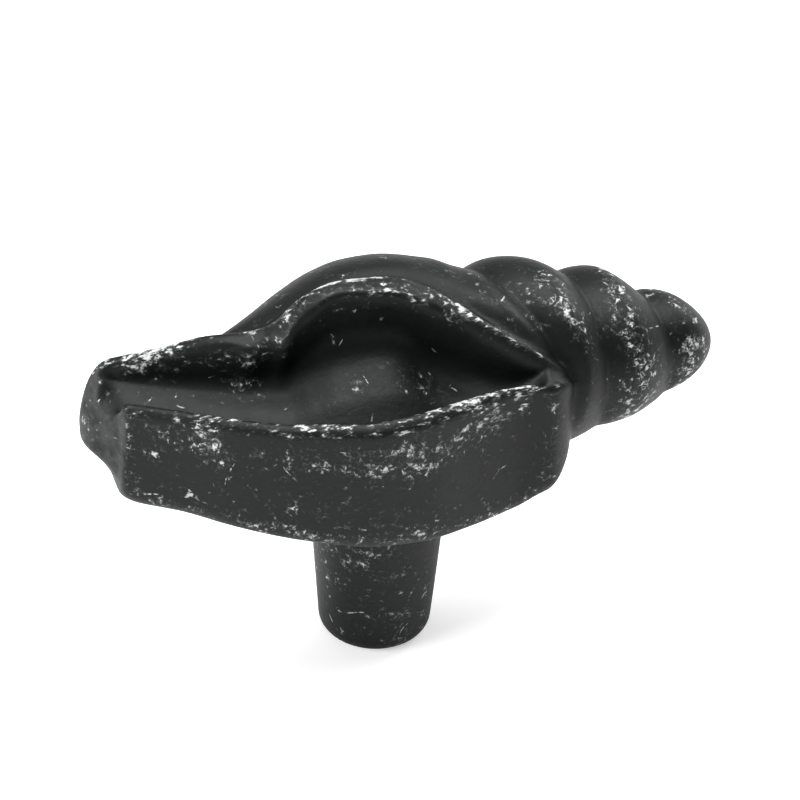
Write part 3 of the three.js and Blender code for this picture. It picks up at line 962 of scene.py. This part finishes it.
def distressed_black():
    """Black, grey where the sum of noise and masks is high, and bare metal where it is higher. The grey
    on the canal's left-facing end is painted light.
    """
    material = bpy.data.materials.new("distressed_black")
    tree = empty_tree(material)
    place = node(tree, "ShaderNodeTexCoord").outputs["Object"]
    masks = kinds_of_place(tree, place)
    patches = noise(tree, place, size=6.0)
    clusters = noise(tree, place, size=1.4, detail=3.0, roughness=0.6)
    specks = noise(tree, place, size=0.46, detail=3.0, roughness=0.65, distortion=0.6)
    streaks = noise(tree, place, size=0.34, roughness=0.7, stretch=(2.6, 1, 1), shift=(5, 3, 1))
    surface = noise(tree, place, size=0.5, detail=4.0, roughness=0.65)
    grain = node(tree, "ShaderNodeMix", {0: masks["crest"], 2: specks, 3: streaks}).outputs[0]
    shares = [(masks[name], share) for name, share in RUBBING.items()]
    rubbed = weighted(tree, (grain, 1.0), (clusters, 0.62), (patches, 0.42), *shares)
    # Painted light: a lighter grey on the canal end's faces that turn left, standing in for light grazing
    # that end.
    painted_end_light = product(tree, masks["canal end"], eased(tree, clusters, 0.35, 0.65, 0.05, 0.60))
    haze_and_painted_light = calculate(tree, "MAXIMUM", eased(tree, rubbed, HAZE_FROM, HAZE_FULL), painted_end_light)
    bare = eased(tree, rubbed, BARE_FROM, BARE_FULL)
    lines = product(tree, scratches(tree, place), eased(tree, specks, 0.40, 0.56))
    shown = calculate(tree, "MAXIMUM", bare, lines, clamp=True)
    height = weighted(tree, (surface, 1.0), (shown, -0.35), (clusters, 0.5))
    bump = node(tree, "ShaderNodeBump", {"Height": height, "Distance": BUMP_HEIGHT, "Strength": 1.0})
    rough = weighted(tree, (clusters, 0.18), (shown, 0.12), (masks["sheltered"], 0.14), (1.0, 0.40))
    shader = node(tree, "ShaderNodeBsdfPrincipled", {
        "Base Color": mixed(tree, shown, mixed(tree, haze_and_painted_light, BLACK, WORN_AND_PAINTED_LIGHT_GREY), METAL),
        "Metallic": product(tree, shown, METAL_SHARE),
        "Roughness": rough,
        "Normal": bump.outputs[0],
        "Specular IOR Level": SPECULAR,
    })
    node(tree, "ShaderNodeOutputMaterial", {0: shader.outputs[0]})
    print("finish of", len(tree.nodes), "nodes")
    return material


finish = distressed_black()
casting.data.materials.append(finish)
screw_thread.data.materials.append(finish)

# %% [markdown]
# The photograph's ground is a white sheet in soft light. A ground lit until it looks white
# would light the knob from below as well. So the sheet glows for the camera alone, and
# faintly in reflections, and the knob still throws a soft shadow on it. The world is plain
# white for the camera too. For the knob it's a dim room with one bright sheet behind it.

# %% Floor and world
FLOOR_HALF = 1500.0
SHEET_COLOUR = (0.8, 0.8, 0.8, 1)
SHEET_GLOW = 0.50
MIRRORED_SHARE = 0.25
WHITE = (1, 1, 1, 1)
ROOM_LIGHT = 0.08
BEHIND_LIGHT = 0.50


def white_sheet():
    """A matt sheet that glows in full for the camera, and by a share in a mirror's rays."""
    material = bpy.data.materials.new("white_sheet")
    tree = empty_tree(material)
    path = node(tree, "ShaderNodeLightPath").outputs
    seen = calculate(tree, "MULTIPLY_ADD", path["Is Glossy Ray"], MIRRORED_SHARE, path["Is Camera Ray"])
    matt = node(tree, "ShaderNodeBsdfDiffuse", {"Color": SHEET_COLOUR})
    glow = node(tree, "ShaderNodeEmission", {"Strength": product(tree, seen, SHEET_GLOW)})
    both = node(tree, "ShaderNodeAddShader", {0: matt.outputs[0], 1: glow.outputs[0]})
    node(tree, "ShaderNodeOutputMaterial", {0: both.outputs[0]})
    return material


def make_floor():
    square = np.array([[-1, -1, 0], [1, -1, 0], [1, 1, 0], [-1, 1, 0]])
    floor = mesh_object("floor", square * FLOOR_HALF, np.array([[0, 1, 2, 3]]))
    floor.data.materials.append(white_sheet())


def make_world():
    """White for the camera. For everything else it's a bright sheet behind the knob, towards
    +Y, in a dim room."""
    world = bpy.data.worlds.new("studio")
    tree = empty_tree(world)
    direction = node(tree, "ShaderNodeTexCoord").outputs["Generated"]
    towards = node(tree, "ShaderNodeSeparateXYZ", {0: direction}).outputs
    sheet = eased(tree, towards["Y"], 0.15, 0.65, ROOM_LIGHT, BEHIND_LIGHT)
    seen = node(tree, "ShaderNodeLightPath").outputs["Is Camera Ray"]
    strength = calculate(tree, "MAXIMUM", seen, sheet)
    glow = node(tree, "ShaderNodeBackground", {"Color": WHITE, "Strength": strength})
    node(tree, "ShaderNodeOutputWorld", {0: glow.outputs[0]})
    bpy.context.scene.world = world


make_floor()
make_world()

# %% [markdown]
# Three square lamps light the shell. The large one overhead gives the whorls their soft
# tops, the one on the left lights the canal and the wall, and a weak one on the right
# keeps the spire's tip from sinking into the dark.

# %% Lamps
NEARLY_Y = (0.02, 1, 0.01)


def soft_lamp(name, place, size, power):
    """A square lamp that faces the shell. Place and size are in mm. One of its sides is square
    to its direction and to NEARLY_Y, along which no lamp shines."""
    data = bpy.data.lights.new(name, "AREA")
    data.size = size * MM
    data.energy = power
    back = np.array(place, float) - (0, 0, AXIS_HEIGHT)
    back /= np.linalg.norm(back)
    side = np.cross(NEARLY_Y, back)
    side /= np.linalg.norm(side)
    placed(bpy.data.objects.new(name, data), side, np.cross(back, side), back, np.array(place) * MM)
    print(name, "lamp:", power, "W at", place)


soft_lamp("overhead", (40, 20, 600), 500, 5.4)
soft_lamp("left", (-500, -60, 240), 300, 2.8)
soft_lamp("right", (420, 200, 260), 260, 1.2)
bpy.context.scene.view_settings.view_transform = "Standard"
